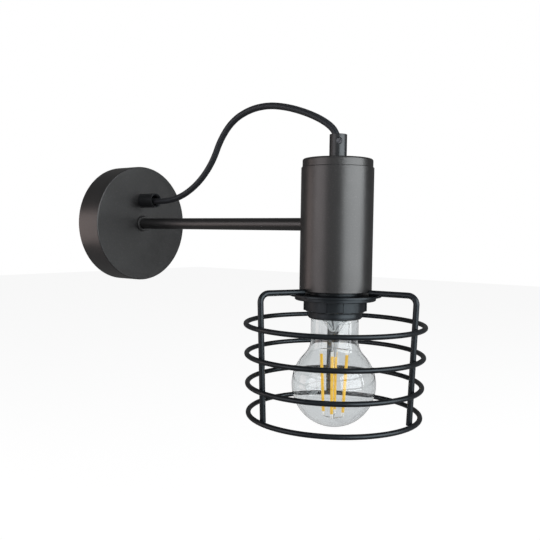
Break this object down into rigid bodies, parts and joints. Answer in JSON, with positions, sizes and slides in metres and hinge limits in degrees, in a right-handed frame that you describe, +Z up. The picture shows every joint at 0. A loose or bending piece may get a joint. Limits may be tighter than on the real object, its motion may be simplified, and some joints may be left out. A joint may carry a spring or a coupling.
{
  "type": "cage wall light",
  "caption": "Black wall light: round canopy, straight arm, tube lampholder head with a loose cord, and a cage of wire rings around a clear pear-shaped bulb.",
  "frame": {"origin": "centre of the canopy on the wall plane, midway between the two wall screws", "axes": "+Y into the wall, +Z up, +X along the wall; the arm runs along -Y and the lamp axis is vertical"},
  "size_m": [0.132, 0.299, 0.2395],
  "materials": {
    "powder_black": "fine satin powder coat",
    "wire_black": "satin black lacquer on steel wire",
    "grip_black": "smooth satin black",
    "plastic_black": "moulded black thermoplastic",
    "plastic_white": "off-white insulating plastic",
    "steel_plated": "zinc plated",
    "screw_black": "blackened steel",
    "brass": "plain brass",
    "cap_nickel": "nickel plated",
    "bulb_glass": "clear",
    "insulator_black": "black glass",
    "driver_green": "printed board",
    "filament_yellow": "phosphor coated sticks",
    "cord_textile": "woven textile sheath",
    "lead_insulation": "insulated wire"
  },
  "bodies": {
    "base": {"wall_bracket": "steel_plated", "side_screws": "screw_black", "earth_screw": "brass", "canopy_cover": "powder_black", "terminal_block": "plastic_white", "terminal_sleeves": "brass", "terminal_screws": "steel_plated", "terminal_block_screw": "steel_plated", "arm": "powder_black", "arm_collar": "powder_black", "arm_washer": "steel_plated", "arm_nut": "steel_plated", "arm_saddle_washer": "steel_plated", "arm_head_nut": "steel_plated", "canopy_cord_grip": "grip_black", "canopy_grip_screw": "screw_black", "canopy_grip_nut": "steel_plated", "head_cord_grip": "grip_black", "head_grip_screw": "screw_black", "head_body": "powder_black", "head_cap": "powder_black", "cap_nut": "steel_plated", "head_pipe": "steel_plated", "lampholder_dome": "plastic_black", "dome_lock_screw": "steel_plated", "lampholder_skirt": "plastic_black", "lampholder_core": "plastic_white", "lampholder_terminals": "brass", "lampholder_terminal_screws": "steel_plated", "lampholder_shell": "brass", "centre_contact": "brass", "cord": "cord_textile", "canopy_leads": "lead_insulation", "head_leads": "lead_insulation"},
    "cage": {"cage_plate": "wire_black", "cage_leg_1": "wire_black", "cage_leg_2": "wire_black", "cage_leg_3": "wire_black", "cage_ring_1": "wire_black", "cage_ring_2": "wire_black", "cage_ring_3": "wire_black", "cage_ring_4": "wire_black"},
    "shade_ring": {"shade_ring": "plastic_black"},
    "bulb_tip": {"bulb_contact": "brass"},
    "bulb": {"bulb_glass": "bulb_glass", "bulb_cap": "cap_nickel", "bulb_insulator": "insulator_black", "bulb_driver": "driver_green", "bulb_stem": "bulb_glass", "filaments": "filament_yellow", "filament_wires": "cap_nickel"}
  },
  "joints": [
    {"name": "cage_drop", "type": "slide", "parent": "base", "child": "cage", "axis": [0, 0, -1], "range_m": [0, 0.01]},
    {"name": "ring_turn", "type": "hinge", "parent": "cage", "child": "shade_ring", "pos_m": [0, -0.233, -0.0528], "axis": [0, 0, -1], "range_deg": [0, 1440]},
    {"name": "bulb_travel", "type": "slide", "parent": "base", "child": "bulb_tip", "axis": [0, 0, -1], "range_m": [0, 0.01814]},
    {"name": "bulb_turn", "type": "hinge", "parent": "bulb_tip", "child": "bulb", "pos_m": [0, -0.233, -0.055], "axis": [0, 0, -1], "range_deg": [0, 1800]}
  ],
  "couplings": [
    {"joint": "ring_turn", "follows": "cage_drop", "rad_per_m": 2513.3},
    {"joint": "bulb_turn", "follows": "bulb_travel", "rad_per_m": 1731.6}
  ]
}
